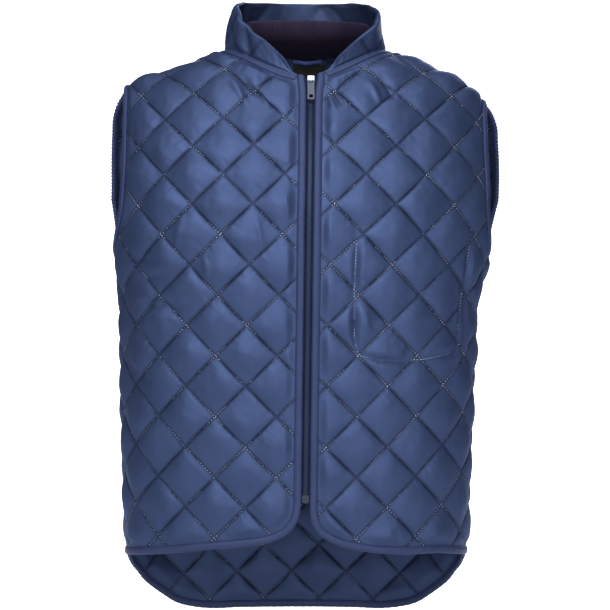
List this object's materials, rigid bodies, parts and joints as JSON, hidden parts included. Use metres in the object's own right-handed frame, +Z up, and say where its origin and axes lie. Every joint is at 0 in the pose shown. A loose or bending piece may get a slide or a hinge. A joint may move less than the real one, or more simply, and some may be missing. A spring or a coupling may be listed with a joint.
{
  "type": "quilted thermal vest",
  "caption": "Sleeveless diamond-quilted bodywarmer, filled out as when worn, with a closed front zip, a stand collar over a rib-knit collar, bound edges and a longer rounded tail.",
  "frame": {"origin": "midway between the two points where the neck seam meets the shoulder seams, where the wearer's shoulders hold the vest", "axes": "+Z up, -Y towards the front of the vest, +X towards the wearer's left"},
  "size_m": [0.5224, 0.2709, 0.8275],
  "materials": {
    "shell": "shiny woven nylon, navy",
    "binding": "woven binding tape, navy",
    "rib_knit": "matt rib knit, near black",
    "zip_tape": "matt woven tape",
    "zip_teeth": "moulded teeth, slate",
    "gunmetal": "dark lacquered metal",
    "satin": "satin ribbon, blue",
    "label": "woven label, black, bare"
  },
  "bodies": {
    "vest": {"front_right": "shell", "front_left": "shell", "back": "shell", "collar": "shell", "rib_collar": "rib_knit", "neck_band": "binding", "front_binding_right": "binding", "front_binding_left": "binding", "tail_binding": "binding", "armhole_binding_right": "binding", "armhole_binding_left": "binding", "zip_tape_right": "zip_tape", "zip_tape_left": "zip_tape", "zip_chain": "zip_teeth", "zip_slider": "gunmetal", "zip_box": "gunmetal", "hanger_loop": "satin", "neck_label": "label"},
    "pull": {"zip_pull": "gunmetal"}
  },
  "joints": [
    {"name": "pull_swing", "type": "hinge", "parent": "vest", "child": "pull", "pos_m": [0.00752, -0.07966, -0.04968], "axis": [-1, 0, 0], "range_deg": [0, 170]}
  ]
}
